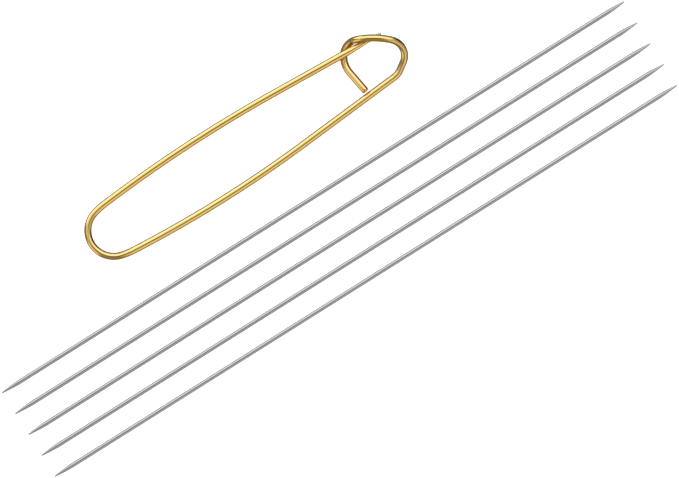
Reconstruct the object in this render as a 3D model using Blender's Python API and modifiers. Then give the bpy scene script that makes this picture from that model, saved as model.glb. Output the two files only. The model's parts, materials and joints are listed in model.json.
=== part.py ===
"""Five double-pointed knitting needles and the wire stitch holder that lies beside them.

X runs along the needles and Y from the needles towards the holder. Z is up. The origin is under the middle
of the middle needle, on the table that everything lies on. Lengths are in metres.

A needle is one turned steel rod. The holder is one bent wire, like a large safety pin: a round end bend,
a back arm that ends in a hook, and a pin. The pin lies over the hook's tail and under its arch. It comes
out when it is pressed in towards the back arm, and it then lifts over the hook and swings away.
"""

import math

import bpy
from mathutils import Vector

TOUCHING_GAP = 0.0003

# The needles
NEEDLE_COUNT = 5
NEEDLE_LENGTH = 0.200
NEEDLE_RADIUS = 0.000625
NEEDLE_PITCH = 0.00672
NEEDLE_SIDES = 16
POINT_LENGTH = 0.0056
POINT_ROUNDING = 0.00022
POINT_FULLNESS = 1.35

# The holder's wire
WIRE_RADIUS = 0.001
WIRE_SIDES_RESOLUTION = 2
ROUTE_SPACING = 0.0025
ROUTE_TURN = math.radians(12)

# Where the holder lies: the outermost point of its end bend
NOSE_X = -0.0578
NOSE_Y = 0.03466

# The end bend and the arms, which bow out a little. Turns and spreads are in degrees
NOSE_RADIUS = 0.00705
SHOULDER_RADIUS = 0.0225
SHOULDER_TURN = 9.6
BACK_SPREAD = 4.7
BACK_BOW_RADIUS = 0.344
BACK_BOW_TURN = 9.05
BACK_STRAIGHT_LENGTH = 0.0307
FRONT_SPREAD = 5.0
FRONT_BOW_RADIUS = 0.390
FRONT_BOW_TURN = 8.0
FRONT_STRAIGHT_LENGTH = 0.0337

# The pin, which rises from the table over the tail of the hook
PIN_PIVOT_DISTANCE = 0.0225
PIN_TIP_HEIGHT = 0.0037
PIN_TAPER_LENGTH = 0.0120
PIN_TAPER_FULLNESS = 1.25
PIN_TIP_RADIUS = 0.0004
ROOT_LENGTH = 0.0030

# The hook, in the order the wire takes its bends: (degrees, height of the wire's middle at the bend's end).
# It rises from the table to an arch over the pin, and comes down to a tail under the pin
KINK_RADIUS = 0.0045
KINK = [(30.2, 0.0013)]
RISE_LENGTH = 0.0024
RISE_HEIGHT = 0.0019
HOOK_END_RADIUS = 0.0043
HOOK_END = [(50, 0.0034), (50.6, 0.0054)]
ARCH_RADIUS = 0.0238
ARCH = [(10, 0.0060), (8, 0.0060), (6, 0.0049)]
HOOK_SIDE_RADIUS = 0.0041
HOOK_SIDE = [(18, 0.0032), (22, 0.0020), (32.1, 0.00112)]
TAIL_RADIUS = 0.0070
TAIL = [(12, 0.00104), (14, WIRE_RADIUS), (21.4, 0.00115)]
TAIL_LENGTH = 0.0068
TAIL_END_HEIGHT = 0.0018

STEEL = (0.60, 0.60, 0.61)
GOLD = (0.83, 0.62, 0.24)


def clear_scene():
    for leftover in list(bpy.data.objects):
        bpy.data.objects.remove(leftover, do_unlink=True)


def metal(name, colour, roughness):
    material = bpy.data.materials.new(name)
    material.use_nodes = True
    shader = material.node_tree.nodes["Principled BSDF"]
    shader.inputs["Base Color"].default_value = (*colour, 1)
    shader.inputs["Metallic"].default_value = 1
    shader.inputs["Roughness"].default_value = roughness
    return material


def empty(name, location, collection, parent=None):
    marker = bpy.data.objects.new(name, None)
    marker.empty_display_size = 0.005
    marker.location = location
    marker.parent = parent
    collection.objects.link(marker)
    return marker


# ---- Needles ----


def needle_profile():
    """(distance from the middle, radius) from one tip to the other."""
    half = NEEDLE_LENGTH / 2
    end = [(half, 0)]
    for degrees in (35, 70):
        angle = math.radians(degrees)
        end.append((half - POINT_ROUNDING * (1 - math.cos(angle)), POINT_ROUNDING * math.sin(angle)))
    for share in (0.05, 0.2, 0.4, 0.6, 0.8, 1):
        radius = POINT_ROUNDING + (NEEDLE_RADIUS - POINT_ROUNDING) * (1 - (1 - share) ** POINT_FULLNESS)
        end.append((half - POINT_ROUNDING - share * (POINT_LENGTH - POINT_ROUNDING), radius))
    return end + [(-along, radius) for along, radius in reversed(end)]


def needle_mesh():
    """The profile, turned half a side off, so that the rod rests on a flat. Its radius is to the flats."""
    turn = math.pi / NEEDLE_SIDES
    points = [(r, r * math.tan(turn), along) for along, r in needle_profile()]
    mesh = bpy.data.meshes.new("needle")
    mesh.from_pydata(points, [(i, i + 1) for i in range(len(points) - 1)], [])
    return mesh


def add_needles(collection, material):
    mesh = needle_mesh()
    mesh.materials.append(material)
    for index in range(NEEDLE_COUNT):
        needle = bpy.data.objects.new(f"needle_{index + 1}", mesh)
        needle.location = (0, (index - (NEEDLE_COUNT - 1) / 2) * NEEDLE_PITCH, NEEDLE_RADIUS)
        needle.rotation_euler = (0, math.pi / 2, 0)
        turned = needle.modifiers.new("Turned", "SCREW")
        turned.axis = "Z"
        turned.angle = math.tau
        turned.steps = NEEDLE_SIDES
        turned.render_steps = NEEDLE_SIDES
        turned.use_merge_vertices = True
        turned.merge_threshold = 0.000001
        collection.objects.link(needle)


# ---- The holder's wire, as bend tables: each row is (length, turn, height at its end) ----


def bend(radius, degrees, height=WIRE_RADIUS):
    turn = math.radians(degrees)
    return radius * abs(turn), turn, height


def bends(radius, steps):
    return [bend(radius, degrees, height) for degrees, height in steps]


def straight(length, height=WIRE_RADIUS):
    return length, 0, height


END_BEND_ROWS = 2
ARM_ROWS = 4


def back_side():
    """From the nose along the back arm, round the hook to the cut end of its tail."""
    arm = [
        bend(NOSE_RADIUS, 90 - BACK_SPREAD - SHOULDER_TURN),
        bend(SHOULDER_RADIUS, SHOULDER_TURN),
        bend(BACK_BOW_RADIUS, BACK_BOW_TURN),
        straight(BACK_STRAIGHT_LENGTH),
    ]
    rise = bends(KINK_RADIUS, KINK) + [straight(RISE_LENGTH, RISE_HEIGHT)]
    over = bends(HOOK_END_RADIUS, HOOK_END) + bends(ARCH_RADIUS, ARCH) + bends(HOOK_SIDE_RADIUS, HOOK_SIDE)
    return arm + rise + over + bends(TAIL_RADIUS, TAIL) + [straight(TAIL_LENGTH, TAIL_END_HEIGHT)]


def front_side():
    """From the nose, the other way round, to the tip of the pin."""
    bow = bend(FRONT_BOW_RADIUS, -FRONT_BOW_TURN)
    rest = straight(FRONT_STRAIGHT_LENGTH, PIN_TIP_HEIGHT)
    slope = (PIN_TIP_HEIGHT - WIRE_RADIUS) / (bow[0] + rest[0])
    return [
        bend(NOSE_RADIUS, FRONT_SPREAD + SHOULDER_TURN - 90),
        bend(SHOULDER_RADIUS, -SHOULDER_TURN),
        (bow[0], bow[1], WIRE_RADIUS + slope * bow[0]),
        rest,
    ]


def plan_of(table, heading):
    """(distance, x, y) along a bend table that starts at the nose."""
    x, y, distance = NOSE_X, NOSE_Y, 0
    points = [(distance, x, y)]
    for length, turn, _ in table:
        count = math.ceil(max(length / ROUTE_SPACING, abs(turn) / ROUTE_TURN))
        part = turn / count
        chord = length / count
        if turn:
            chord *= math.sin(part / 2) / (part / 2)
        for _ in range(count):
            x += chord * math.cos(heading + part / 2)
            y += chord * math.sin(heading + part / 2)
            heading += part
            distance += length / count
            points.append((distance, x, y))
    return points


def slope_at(before, here, after):
    """The slope of the height curve at a station: level where the heights turn or stay the same."""
    if (here[1] - before[1]) * (after[1] - here[1]) <= 0:
        return 0
    return (after[1] - before[1]) / (after[0] - before[0])


def height_along(table, distance):
    """A smooth curve through the heights at the ends of the rows."""
    stations = [(0, WIRE_RADIUS)]
    for length, _, height in table:
        stations.append((stations[-1][0] + length, height))
    stations = [(-1, WIRE_RADIUS)] + stations + [(stations[-1][0] + 1, stations[-1][1])]
    index = 1
    while index < len(stations) - 3 and distance > stations[index + 1][0]:
        index += 1
    before, low, high, after = stations[index - 1 : index + 3]
    span = high[0] - low[0]
    share = min((distance - low[0]) / span, 1)
    return (
        low[1] * (1 + 2 * share) * (1 - share) ** 2
        + slope_at(before, low, high) * span * share * (1 - share) ** 2
        + high[1] * share**2 * (3 - 2 * share)
        - slope_at(low, high, after) * span * share**2 * (1 - share)
    )


def route_of(table, heading):
    return [(d, Vector((x, y, height_along(table, d)))) for d, x, y in plan_of(table, heading)]


def whole_route():
    """The whole wire as (distance, point): below 0 on the back side of the nose and above 0 on the front."""
    back = [(-distance, point) for distance, point in route_of(back_side(), -math.pi / 2)]
    front = route_of(front_side(), math.pi / 2)
    return back[:0:-1] + front


def point_at(route, distance):
    for (low, start), (high, end) in zip(route, route[1:]):
        if low <= distance <= high:
            return start.lerp(end, (distance - low) / (high - low))
    return route[-1][1].copy()


def stretch(route, start, end):
    """The points of the wire between two distances, with a point at each end."""
    inside = [point for distance, point in route if start + 1e-5 < distance < end - 1e-5]
    return [point_at(route, start)] + inside + [point_at(route, end)]


def add_wire(name, points, parent, collection, material, radii=None):
    """A length of the wire. Radii are shares of the wire's own radius."""
    origin = Vector(parent.matrix_world.translation)
    curve = bpy.data.curves.new(name, "CURVE")
    curve.dimensions = "3D"
    curve.twist_mode = "Z_UP"
    curve.bevel_depth = WIRE_RADIUS
    curve.bevel_resolution = WIRE_SIDES_RESOLUTION
    curve.use_fill_caps = True
    curve.materials.append(material)
    spline = curve.splines.new("POLY")
    spline.points.add(len(points) - 1)
    for index, point in enumerate(points):
        spline.points[index].co = (*(point - origin), 1)
        spline.points[index].radius = radii[index] if radii else 1
    wire = bpy.data.objects.new(name, curve)
    wire.parent = parent
    collection.objects.link(wire)
    return wire


def pin_points(route, start, tip):
    """The pin from its ball-shaped root, which turns in its own space, to its rounded tip."""
    first = point_at(route, start)
    back_along = (first - point_at(route, start + ROUTE_SPACING)).normalized()
    points, radii = [], []
    for degrees in (20, 45, 70):
        angle = math.radians(degrees)
        points.append(first + back_along * WIRE_RADIUS * math.cos(angle))
        radii.append(math.sin(angle))
    taper_start = tip - PIN_TAPER_LENGTH
    points += stretch(route, start, taper_start)
    radii += [1] * (len(points) - len(radii))
    tip_share = PIN_TIP_RADIUS / WIRE_RADIUS
    for share in (0.25, 0.5, 0.75, 1):
        distance = taper_start + share * (PIN_TAPER_LENGTH - PIN_TIP_RADIUS)
        points.append(point_at(route, distance))
        radii.append(1 + share**PIN_TAPER_FULLNESS * (tip_share - 1))
    for degrees in (40, 75):
        angle = math.radians(degrees)
        points.append(point_at(route, tip - PIN_TIP_RADIUS * (1 - math.sin(angle))))
        radii.append(tip_share * math.cos(angle))
    return points, radii


def add_holder(collection, material):
    route = whole_route()
    tail, tip = route[0][0], route[-1][0]
    lengths = [row[0] for row in back_side()]
    bend_end = -sum(lengths[:END_BEND_ROWS])
    arm_end = -sum(lengths[:ARM_ROWS])
    pivot = PIN_PIVOT_DISTANCE
    root_end = pivot - WIRE_RADIUS - TOUCHING_GAP
    root_start = root_end - ROOT_LENGTH
    half_gap = TOUCHING_GAP / 2

    frame = empty("holder", (0, NOSE_Y, 0), collection)
    pin_pivot = empty("pin_pivot", point_at(route, pivot) - frame.location, collection, frame)
    bpy.context.view_layer.update()

    add_wire("holder_hook", stretch(route, tail, arm_end - half_gap), frame, collection, material)
    back_arm = stretch(route, arm_end + half_gap, bend_end - half_gap)
    add_wire("holder_back_arm", back_arm, frame, collection, material)
    end_bend = stretch(route, bend_end + half_gap, root_start - TOUCHING_GAP)
    add_wire("holder_end_bend", end_bend, frame, collection, material)
    add_wire("holder_pin_root", stretch(route, root_start, root_end), pin_pivot, collection, material)
    points, radii = pin_points(route, pivot, tip)
    add_wire("holder_pin", points, pin_pivot, collection, material, radii)


def main():
    clear_scene()
    collection = bpy.data.collections.new("knitting_needle_set")
    bpy.context.scene.collection.children.link(collection)
    add_needles(collection, metal("needle_steel", STEEL, 0.25))
    add_holder(collection, metal("holder_wire", GOLD, 0.2))


main()
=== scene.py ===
"""The looks of five steel knitting needles and the gold-coloured wire stitch holder beside them.

Every size and place comes from the CAD model. The needles are turned on the middle lines of their CAD nodes.
The holder's wire follows the same bend tables as the CAD source, with a finer spacing and a rounder section.
Lengths are in metres: X runs along the needles, Y from the needles towards the holder, and Z is up.
"""

import bisect
import json
import math

import bmesh
import bpy
from mathutils import Euler, Vector
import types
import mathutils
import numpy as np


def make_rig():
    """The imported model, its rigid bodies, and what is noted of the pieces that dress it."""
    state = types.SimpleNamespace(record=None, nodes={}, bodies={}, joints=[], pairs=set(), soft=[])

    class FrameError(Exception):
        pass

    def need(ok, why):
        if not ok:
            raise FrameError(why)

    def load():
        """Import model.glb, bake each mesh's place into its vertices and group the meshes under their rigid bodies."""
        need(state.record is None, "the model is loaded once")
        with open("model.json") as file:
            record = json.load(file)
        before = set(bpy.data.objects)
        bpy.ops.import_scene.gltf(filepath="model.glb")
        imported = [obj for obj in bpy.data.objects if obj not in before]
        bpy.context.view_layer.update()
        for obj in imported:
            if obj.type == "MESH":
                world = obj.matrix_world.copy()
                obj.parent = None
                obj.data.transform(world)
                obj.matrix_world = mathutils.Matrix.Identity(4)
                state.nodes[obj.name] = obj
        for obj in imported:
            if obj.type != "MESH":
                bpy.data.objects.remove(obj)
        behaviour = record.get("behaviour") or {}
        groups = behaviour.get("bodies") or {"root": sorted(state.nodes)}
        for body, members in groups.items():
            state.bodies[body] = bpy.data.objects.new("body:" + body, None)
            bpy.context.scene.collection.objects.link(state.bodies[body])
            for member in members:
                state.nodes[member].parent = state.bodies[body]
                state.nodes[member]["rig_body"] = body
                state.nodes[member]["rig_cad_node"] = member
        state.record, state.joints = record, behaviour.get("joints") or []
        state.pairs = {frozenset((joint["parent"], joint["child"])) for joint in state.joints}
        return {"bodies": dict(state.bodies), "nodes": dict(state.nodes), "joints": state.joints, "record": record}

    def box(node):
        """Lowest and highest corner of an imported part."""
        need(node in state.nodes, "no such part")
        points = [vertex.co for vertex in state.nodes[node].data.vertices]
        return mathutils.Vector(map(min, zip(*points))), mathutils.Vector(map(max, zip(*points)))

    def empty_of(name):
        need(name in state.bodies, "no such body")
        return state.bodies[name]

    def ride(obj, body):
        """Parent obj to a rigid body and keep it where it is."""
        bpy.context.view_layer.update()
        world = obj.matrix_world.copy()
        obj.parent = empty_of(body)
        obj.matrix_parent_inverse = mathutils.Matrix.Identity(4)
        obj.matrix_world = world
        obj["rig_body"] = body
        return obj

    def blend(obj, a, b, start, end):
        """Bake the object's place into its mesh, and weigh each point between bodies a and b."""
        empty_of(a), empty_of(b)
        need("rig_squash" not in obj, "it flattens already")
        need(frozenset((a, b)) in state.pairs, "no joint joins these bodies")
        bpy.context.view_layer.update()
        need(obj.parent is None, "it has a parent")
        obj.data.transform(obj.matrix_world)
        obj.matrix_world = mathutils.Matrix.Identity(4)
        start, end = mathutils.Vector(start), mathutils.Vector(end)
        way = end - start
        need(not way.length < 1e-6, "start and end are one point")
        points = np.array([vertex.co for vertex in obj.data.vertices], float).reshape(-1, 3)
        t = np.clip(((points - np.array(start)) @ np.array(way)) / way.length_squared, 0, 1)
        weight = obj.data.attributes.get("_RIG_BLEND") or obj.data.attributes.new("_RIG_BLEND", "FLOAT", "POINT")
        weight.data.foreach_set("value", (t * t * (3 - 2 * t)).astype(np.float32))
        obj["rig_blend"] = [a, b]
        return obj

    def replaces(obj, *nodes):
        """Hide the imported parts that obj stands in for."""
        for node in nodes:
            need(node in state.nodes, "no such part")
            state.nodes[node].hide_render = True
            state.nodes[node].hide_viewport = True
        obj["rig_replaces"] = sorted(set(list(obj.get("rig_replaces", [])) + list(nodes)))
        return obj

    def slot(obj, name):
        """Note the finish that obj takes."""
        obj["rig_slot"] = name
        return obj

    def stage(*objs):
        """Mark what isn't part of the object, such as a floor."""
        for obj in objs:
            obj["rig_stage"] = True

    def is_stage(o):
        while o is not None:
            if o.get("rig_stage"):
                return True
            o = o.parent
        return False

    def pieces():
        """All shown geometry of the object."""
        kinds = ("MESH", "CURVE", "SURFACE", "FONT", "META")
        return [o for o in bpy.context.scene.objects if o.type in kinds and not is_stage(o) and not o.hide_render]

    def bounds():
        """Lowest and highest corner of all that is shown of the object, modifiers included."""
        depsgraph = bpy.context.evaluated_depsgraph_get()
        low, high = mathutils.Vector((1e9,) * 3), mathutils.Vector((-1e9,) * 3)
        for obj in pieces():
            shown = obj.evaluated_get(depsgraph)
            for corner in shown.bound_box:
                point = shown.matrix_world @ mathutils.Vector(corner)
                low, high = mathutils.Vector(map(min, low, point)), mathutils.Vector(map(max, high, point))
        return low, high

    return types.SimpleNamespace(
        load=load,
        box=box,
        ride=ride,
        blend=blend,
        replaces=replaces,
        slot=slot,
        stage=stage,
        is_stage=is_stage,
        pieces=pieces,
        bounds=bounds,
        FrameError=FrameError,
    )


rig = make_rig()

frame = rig.load()
cad_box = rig.bounds()

# The view
VIEW_WIDTH = 0.1848
VIEW_ROLL = 32.15
LENS = 500
SENSOR_WIDTH = 36
FLOOR_SIZE = 40
FLOOR_TONE = 0.9
FLOOR_GLOW = 0.8

# How much of a taper lies between two rings
TAPER_STEP = 0.04

# The needles
NEEDLE_SIDES = 64
NEEDLE_RING_SPACING = 0.004
POINT_LENGTH = 0.0056
POINT_ROUNDING = 0.00022
POINT_FULLNESS = 1.35
TIP_DEGREES = (8, 20, 35, 50, 65, 80)

# The holder's wire
WIRE_RADIUS = 0.001
WIRE_SIDES = 40
WIRE_RING_SPACING = 0.0003

# Where the holder lies: the outermost point of its end bend
NOSE_X = -0.0578
NOSE_Y = 0.03466

# The end bend and the arms, which bow out a little. Turns and spreads are in degrees
NOSE_RADIUS = 0.00705
SHOULDER_RADIUS = 0.0225
SHOULDER_TURN = 9.6
BACK_SPREAD = 4.7
BACK_BOW_RADIUS = 0.344
BACK_BOW_TURN = 9.05
BACK_STRAIGHT_LENGTH = 0.0307
FRONT_SPREAD = 5.0
FRONT_BOW_RADIUS = 0.390
FRONT_BOW_TURN = 8.0
FRONT_STRAIGHT_LENGTH = 0.0337

# The pin, which rises from the table over the tail of the hook
PIN_TIP_HEIGHT = 0.0037
PIN_TAPER_LENGTH = 0.0120
PIN_TAPER_FULLNESS = 1.25
PIN_TIP_RADIUS = 0.0004

# The hook, in the order the wire takes its bends: (degrees, height of the wire's middle at the bend's end).
# It rises from the table to an arch over the pin, and comes down to a tail under the pin
KINK_RADIUS = 0.0045
KINK = [(30.2, 0.0013)]
RISE_LENGTH = 0.0024
RISE_HEIGHT = 0.0019
HOOK_END_RADIUS = 0.0043
HOOK_END = [(50, 0.0034), (50.6, 0.0054)]
ARCH_RADIUS = 0.0238
ARCH = [(10, 0.0060), (8, 0.0060), (6, 0.0049)]
HOOK_SIDE_RADIUS = 0.0041
HOOK_SIDE = [(18, 0.0032), (22, 0.0020), (32.1, 0.00112)]
TAIL_RADIUS = 0.0070
TAIL = [(12, 0.00104), (14, WIRE_RADIUS), (21.4, 0.00115)]
TAIL_LENGTH = 0.0068
TAIL_END_HEIGHT = 0.0018
CUT_ROUNDING = 0.0006

# How much of the wire near the pivot turns with each body, as distances from the nose
SHANK_START = 0.0170
SHANK_END = 0.0205
ROOT_START = 0.0210
ROOT_END = 0.0285

# Each metal: its colour, the colour of its edges, how rough it is and how much its fine lines darken it
STEEL = (0.49, 0.49, 0.49)
STEEL_EDGE = (0.50, 0.50, 0.51)
STEEL_ROUGHNESS = 0.11
STEEL_STREAK = 0.12
GOLD = (0.95, 0.64, 0.22)
GOLD_EDGE = (0.36, 0.23, 0.09)
GOLD_ROUGHNESS = 0.14
GOLD_STREAK = 0.06

# The fine lines and the clouds in the polish: steps of noise per metre, along and across the rod
LINE_SCALE = (60, 9000, 9000)
CLOUD_SCALE = (110, 500, 500)
LINE_STRENGTH = 0.15
LINE_DEPTH = 0.000004


# ---- Camera, floor and light ----


def add_camera():
    """A long lens straight above, turned so that the needles rise to the right."""
    camera = bpy.data.cameras.new("camera")
    camera.lens = LENS
    camera.sensor_width = SENSOR_WIDTH
    camera.clip_end = 100
    stand = bpy.data.objects.new("camera", camera)
    stand.location = (0, 0, VIEW_WIDTH * LENS / SENSOR_WIDTH)
    stand.rotation_euler = (0, 0, -math.radians(VIEW_ROLL))
    bpy.context.scene.collection.objects.link(stand)
    bpy.context.scene.camera = stand


def add_floor():
    """A white light table: its own glow takes the shadows away."""
    mesh = bpy.data.meshes.new("floor")
    grid = bmesh.new()
    bmesh.ops.create_grid(grid, x_segments=1, y_segments=1, size=FLOOR_SIZE / 2)
    grid.to_mesh(mesh)
    grid.free()
    floor = bpy.data.objects.new("floor", mesh)
    bpy.context.scene.collection.objects.link(floor)
    material = bpy.data.materials.new("light_table")
    material.use_nodes = True
    shader = material.node_tree.nodes["Principled BSDF"]
    shader.inputs["Base Color"].default_value = (FLOOR_TONE, FLOOR_TONE, FLOOR_TONE, 1)
    shader.inputs["Roughness"].default_value = 0.9
    shader.inputs["Specular IOR Level"].default_value = 0
    shader.inputs["Emission Color"].default_value = (1, 1, 1, 1)
    shader.inputs["Emission Strength"].default_value = FLOOR_GLOW
    mesh.materials.append(material)
    floor.visible_glossy = False
    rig.stage(floor)


# The studio round the table, from the background forwards. Each panel is (bearing from +X towards +Y, height
# above the table, half width, half height, soft edge, tone). The first two numbers are degrees, and the next
# three are shares of the panel's distance. The first three panels stand on the near side and at the left.
# The fourth is a wide pale wall on the far side, and the next three are the lamps in front of it. The last
# two are dark: a flag at the right, and a gap overhead.
AMBIENT_TONE = 0.33
PANELS = [
    (312, 35, 0.62, 0.90, 0.40, 0.64),
    (272, 20, 0.24, 0.60, 0.15, 1.10),
    (188, 12, 0.30, 0.50, 0.25, 1.20),
    (75, 57, 1.25, 0.74, 0.45, 1.10),
    (36, 60, 0.48, 0.34, 0.30, 1.90),
    (70, 45, 0.43, 0.30, 0.30, 1.90),
    (108, 19, 0.46, 0.36, 0.25, 2.05),
    (352, 2, 0.46, 0.46, 0.35, 0.08),
    (270, 82, 0.17, 0.16, 0.12, 0.03),
]


class Nodes:
    """A node tree, with a short way to add a node and link its inputs."""

    def __init__(self, tree):
        self.tree = tree

    def add(self, kind, inputs=(), **settings):
        node = self.tree.nodes.new(kind)
        for name, value in settings.items():
            setattr(node, name, value)
        for name, value in dict(inputs).items():
            if isinstance(value, bpy.types.NodeSocket):
                self.tree.links.new(value, node.inputs[name])
            else:
                node.inputs[name].default_value = value
        return node

    def maths(self, operation, *values):
        return self.add("ShaderNodeMath", dict(enumerate(values)), operation=operation).outputs[0]

    def rescale(self, value, low, high, to_low=0.0, to_high=1.0, smooth=False):
        kind = "SMOOTHSTEP" if smooth else "LINEAR"
        inputs = {"Value": value, "From Min": low, "From Max": high, "To Min": to_low, "To Max": to_high}
        return self.add("ShaderNodeMapRange", inputs, interpolation_type=kind).outputs[0]

    def blend(self, share, first, second):
        return self.add("ShaderNodeMix", {0: share, 2: first, 3: second}).outputs[0]

    def dot(self, vector, fixed):
        inputs = {0: vector, 1: tuple(fixed)}
        return self.add("ShaderNodeVectorMath", inputs, operation="DOT_PRODUCT").outputs["Value"]

    def inside(self, place, half_size, soft):
        """1 where a place is within half a size of 0, falling smoothly to 0 across the soft edge."""
        distance = self.maths("ABSOLUTE", place)
        return self.rescale(distance, half_size - soft / 2, half_size + soft / 2, 1, 0, smooth=True)


def add_light():
    """The studio as tones of the world: in each direction, the front one of the panels that it meets."""
    world = bpy.data.worlds.new("studio")
    bpy.context.scene.world = world
    world.use_nodes = True
    world.node_tree.nodes.clear()
    nodes = Nodes(world.node_tree)
    direction = nodes.add("ShaderNodeTexCoord").outputs["Generated"]
    tone = AMBIENT_TONE
    for bearing, height, half_width, half_height, soft, panel_tone in PANELS:
        towards = Vector((1, 0, 0))
        towards.rotate(Euler((0, -math.radians(height), math.radians(bearing))))
        right = towards.cross(Vector((0, 0, 1))).normalized()
        up = right.cross(towards)
        depth = nodes.maths("MAXIMUM", nodes.dot(direction, towards), 0.0001)
        across = nodes.maths("DIVIDE", nodes.dot(direction, right), depth)
        upwards = nodes.maths("DIVIDE", nodes.dot(direction, up), depth)
        mask = nodes.maths(
            "MULTIPLY", nodes.inside(across, half_width, soft), nodes.inside(upwards, half_height, soft)
        )
        tone = nodes.blend(mask, tone, panel_tone)
    light = nodes.add("ShaderNodeBackground", {"Strength": tone}).outputs[0]
    nodes.add("ShaderNodeOutputWorld", {"Surface": light})


# ---- Materials ----


def metal(name, colour, edge, roughness, streak):
    """Polished metal with fine lines along it, in the coordinates of the rod before it was bent."""
    material = bpy.data.materials.new(name)
    material.use_nodes = True
    nodes = Nodes(material.node_tree)
    shader = material.node_tree.nodes["Principled BSDF"]
    shader.inputs["Metallic"].default_value = 1
    shader.inputs["Specular Tint"].default_value = (*edge, 1)
    place = nodes.add("ShaderNodeAttribute", attribute_name="unbent").outputs["Vector"]
    lines = nodes.add("ShaderNodeMapping", {"Vector": place, "Scale": LINE_SCALE}).outputs[0]
    line = nodes.add("ShaderNodeTexNoise", {"Vector": lines, "Scale": 1, "Detail": 3}).outputs[0]
    clouds = nodes.add("ShaderNodeMapping", {"Vector": place, "Scale": CLOUD_SCALE}).outputs[0]
    cloud = nodes.add("ShaderNodeTexNoise", {"Vector": clouds, "Scale": 1, "Detail": 2}).outputs[0]
    shade = nodes.rescale(line, 0.3, 0.7, 1 - streak, 1)
    tinted = nodes.add(
        "ShaderNodeVectorMath", {0: colour, "Scale": shade}, operation="SCALE"
    ).outputs[0]
    bump = nodes.add(
        "ShaderNodeBump", {"Height": line, "Strength": LINE_STRENGTH, "Distance": LINE_DEPTH}
    ).outputs[0]
    links = material.node_tree.links
    links.new(tinted, shader.inputs["Base Color"])
    links.new(nodes.rescale(cloud, 0.3, 0.7, roughness * 0.85, roughness * 1.2), shader.inputs["Roughness"])
    links.new(bump, shader.inputs["Normal"])
    return material


# ---- Rods ----


def add_rod(name, stations, place, sides, material):
    """A round rod, closed at both ends, through (distance, radius) stations on the line of place()."""
    mesh = bpy.data.meshes.new(name)
    made = bmesh.new()
    unbent = made.verts.layers.float_vector.new("unbent")
    rings = []
    for distance, radius in stations:
        step = WIRE_RING_SPACING / 2
        along = (place(distance + step) - place(distance - step)).normalized()
        side = along.cross(Vector((0, 0, 1))).normalized()
        up = side.cross(along)
        ring = []
        for index in range(sides):
            angle = math.tau * index / sides
            right, rise = radius * math.cos(angle), radius * math.sin(angle)
            vert = made.verts.new(place(distance) + right * side + rise * up)
            vert[unbent] = (distance, right, rise)
            ring.append(vert)
        rings.append(ring)
    for first, second in zip(rings, rings[1:]):
        for index in range(sides):
            after = (index + 1) % sides
            made.faces.new((first[index], first[after], second[after], second[index]))
    for ring, (distance, _) in ((rings[0], stations[0]), (rings[-1], stations[-1])):
        centre = made.verts.new(place(distance))
        centre[unbent] = (distance, 0, 0)
        for index in range(sides):
            made.faces.new((ring[index], ring[(index + 1) % sides], centre))
    bmesh.ops.recalc_face_normals(made, faces=made.faces)
    made.to_mesh(mesh)
    made.free()
    mesh.shade_smooth()
    mesh.set_sharp_from_angle(angle=math.radians(45))
    mesh.materials.append(material)
    rod = bpy.data.objects.new(name, mesh)
    bpy.context.scene.collection.objects.link(rod)
    return rod


def even(start, end, spacing):
    """Distances from start to end, both included, no more than the spacing apart."""
    count = max(1, math.ceil(abs(end - start) / spacing))
    return [start + (end - start) * index / count for index in range(count + 1)]


# ---- Needles ----


def needle_stations(half, radius):
    """A needle's (distance, radius) from its middle to its right tip, mirrored for the left one."""
    tip = []
    for degrees in TIP_DEGREES:
        angle = math.radians(degrees)
        tip.append((half - POINT_ROUNDING * (1 - math.cos(angle)), POINT_ROUNDING * math.sin(angle)))
    point = POINT_LENGTH - POINT_ROUNDING
    for distance in even(TAPER_STEP, 1, TAPER_STEP):
        swelling = (radius - POINT_ROUNDING) * (1 - (1 - distance) ** POINT_FULLNESS)
        tip.append((half - POINT_ROUNDING - distance * point, POINT_ROUNDING + swelling))
    shaft = [(distance, radius) for distance in even(-tip[-1][0], tip[-1][0], NEEDLE_RING_SPACING)]
    return [(-distance, r) for distance, r in tip] + shaft[1:-1] + tip[::-1]


def add_needles(material):
    for body, members in frame["record"]["behaviour"]["bodies"].items():
        for node in members:
            if not node.startswith("needle_"):
                continue
            low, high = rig.box(node)
            middle = (low + high) / 2
            radius = (high.z - low.z) / 2

            def place(distance, middle=middle):
                return middle + Vector((distance, 0, 0))

            stations = needle_stations((high.x - low.x) / 2, radius)
            needle = add_rod(f"{node}_polished", stations, place, NEEDLE_SIDES, material)
            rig.ride(needle, body)
            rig.replaces(needle, node)
            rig.slot(needle, "needle_steel")


# ---- The holder's wire, as bend tables: each row is (length, turn, height at its end) ----


def bend(radius, degrees, height=WIRE_RADIUS):
    turn = math.radians(degrees)
    return radius * abs(turn), turn, height


def bends(radius, steps):
    return [bend(radius, degrees, height) for degrees, height in steps]


def straight(length, height=WIRE_RADIUS):
    return length, 0, height


def back_side():
    """From the nose along the back arm, round the hook to the cut end of its tail."""
    arm = [
        bend(NOSE_RADIUS, 90 - BACK_SPREAD - SHOULDER_TURN),
        bend(SHOULDER_RADIUS, SHOULDER_TURN),
        bend(BACK_BOW_RADIUS, BACK_BOW_TURN),
        straight(BACK_STRAIGHT_LENGTH),
    ]
    rise = bends(KINK_RADIUS, KINK) + [straight(RISE_LENGTH, RISE_HEIGHT)]
    over = bends(HOOK_END_RADIUS, HOOK_END) + bends(ARCH_RADIUS, ARCH) + bends(HOOK_SIDE_RADIUS, HOOK_SIDE)
    return arm + rise + over + bends(TAIL_RADIUS, TAIL) + [straight(TAIL_LENGTH, TAIL_END_HEIGHT)]


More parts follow.
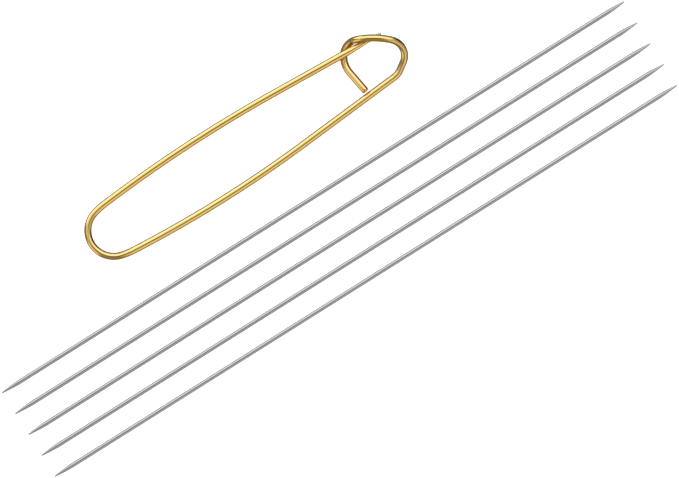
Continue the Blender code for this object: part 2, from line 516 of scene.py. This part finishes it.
def front_side():
    """From the nose, the other way round, to the tip of the pin."""
    bow = bend(FRONT_BOW_RADIUS, -FRONT_BOW_TURN)
    rest = straight(FRONT_STRAIGHT_LENGTH, PIN_TIP_HEIGHT)
    slope = (PIN_TIP_HEIGHT - WIRE_RADIUS) / (bow[0] + rest[0])
    return [
        bend(NOSE_RADIUS, FRONT_SPREAD + SHOULDER_TURN - 90),
        bend(SHOULDER_RADIUS, -SHOULDER_TURN),
        (bow[0], bow[1], WIRE_RADIUS + slope * bow[0]),
        rest,
    ]


def slope_at(before, here, after):
    """The slope of the height curve at a station: level where the heights turn or stay the same."""
    if (here[1] - before[1]) * (after[1] - here[1]) <= 0:
        return 0
    return (after[1] - before[1]) / (after[0] - before[0])


class Side:
    """One side of the wire from the nose, as exact arcs in plan and a smooth curve of heights."""

    def __init__(self, table, heading):
        x, y, distance = NOSE_X, NOSE_Y, 0
        self.rows = []
        self.stations = [(0, WIRE_RADIUS)]
        for length, turn, height in table:
            self.rows.append((distance, length, turn, x, y, heading))
            x, y = self.along_row(self.rows[-1], length)
            heading += turn
            distance += length
            self.stations.append((distance, height))
        self.starts = [row[0] for row in self.rows]
        self.length = distance

    @staticmethod
    def along_row(row, distance):
        """The place in plan at a distance into a row."""
        _, length, turn, x, y, heading = row
        part = turn * distance / length
        chord = distance * (math.sin(part / 2) / (part / 2) if part else 1)
        return x + chord * math.cos(heading + part / 2), y + chord * math.sin(heading + part / 2)

    def height(self, distance):
        ends = [(-1, WIRE_RADIUS)] + self.stations + [(self.stations[-1][0] + 1, self.stations[-1][1])]
        index = 1
        while index < len(ends) - 3 and distance > ends[index + 1][0]:
            index += 1
        before, low, high, after = ends[index - 1 : index + 3]
        span = high[0] - low[0]
        share = min((distance - low[0]) / span, 1)
        return (
            low[1] * (1 + 2 * share) * (1 - share) ** 2
            + slope_at(before, low, high) * span * share * (1 - share) ** 2
            + high[1] * share**2 * (3 - 2 * share)
            - slope_at(low, high, after) * span * share**2 * (1 - share)
        )

    def place(self, distance):
        row = self.rows[max(0, bisect.bisect_right(self.starts, distance) - 1)]
        x, y = self.along_row(row, distance - row[0])
        return Vector((x, y, self.height(distance)))


def wire_place():
    """The wire's middle line by distance from the nose: below 0 on the back side and above 0 on the front."""
    back = Side(back_side(), -math.pi / 2)
    front = Side(front_side(), math.pi / 2)

    def place(distance):
        return back.place(-distance) if distance < 0 else front.place(distance)

    return place, -back.length, front.length


def cut_end(start):
    """Stations of a cut end whose edge is a little rounded."""
    stations = []
    for degrees in (0, 30, 60, 90):
        angle = math.radians(degrees)
        inset = CUT_ROUNDING * (1 - math.sin(angle))
        stations.append((start + CUT_ROUNDING * (1 - math.cos(angle)), WIRE_RADIUS - inset))
    return stations


def pin_end(tip):
    """Stations of the pin's taper and rounded tip."""
    stations = []
    length = PIN_TAPER_LENGTH - PIN_TIP_RADIUS
    for share in even(0, 1, TAPER_STEP):
        radius = WIRE_RADIUS + share**PIN_TAPER_FULLNESS * (PIN_TIP_RADIUS - WIRE_RADIUS)
        stations.append((tip - PIN_TAPER_LENGTH + share * length, radius))
    for degrees in (20, 40, 60, 75, 86):
        angle = math.radians(degrees)
        stations.append((tip - PIN_TIP_RADIUS * (1 - math.sin(angle)), PIN_TIP_RADIUS * math.cos(angle)))
    return stations


def add_holder(material):
    place, tail, tip = wire_place()

    def full(start, end):
        return [(distance, WIRE_RADIUS) for distance in even(start, end, WIRE_RING_SPACING)]

    frame_stations = cut_end(tail) + full(tail + CUT_ROUNDING, SHANK_START)[1:]
    frame_wire = add_rod("holder_frame_wire", frame_stations, place, WIRE_SIDES, material)
    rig.ride(frame_wire, "holder_frame")
    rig.replaces(frame_wire, "holder_hook", "holder_back_arm", "holder_end_bend")

    shank = add_rod("holder_shank", full(SHANK_START, ROOT_START), place, WIRE_SIDES, material)
    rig.blend(shank, "holder_frame", "pin_root", start=place(SHANK_START), end=place(SHANK_END))
    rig.replaces(shank, "holder_pin_root")

    pin_stations = full(ROOT_START, tip - PIN_TAPER_LENGTH) + pin_end(tip)[1:]
    pin = add_rod("holder_pin_wire", pin_stations, place, WIRE_SIDES, material)
    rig.blend(pin, "pin_root", "pin", start=place(ROOT_START), end=place(ROOT_END))
    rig.replaces(pin, "holder_pin")

    for piece in (frame_wire, shank, pin):
        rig.slot(piece, "holder_wire")


def corners(box):
    return [list(corner) for corner in box]


add_camera()
add_floor()
add_light()
add_needles(metal("needle_steel", STEEL, STEEL_EDGE, STEEL_ROUGHNESS, STEEL_STREAK))
add_holder(metal("holder_wire", GOLD, GOLD_EDGE, GOLD_ROUGHNESS, GOLD_STREAK))
bpy.context.scene.view_settings.view_transform = "Standard"

with open("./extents.json", "w") as sizes:
    json.dump({"cad": corners(cad_box), "visual": corners(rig.bounds())}, sizes)
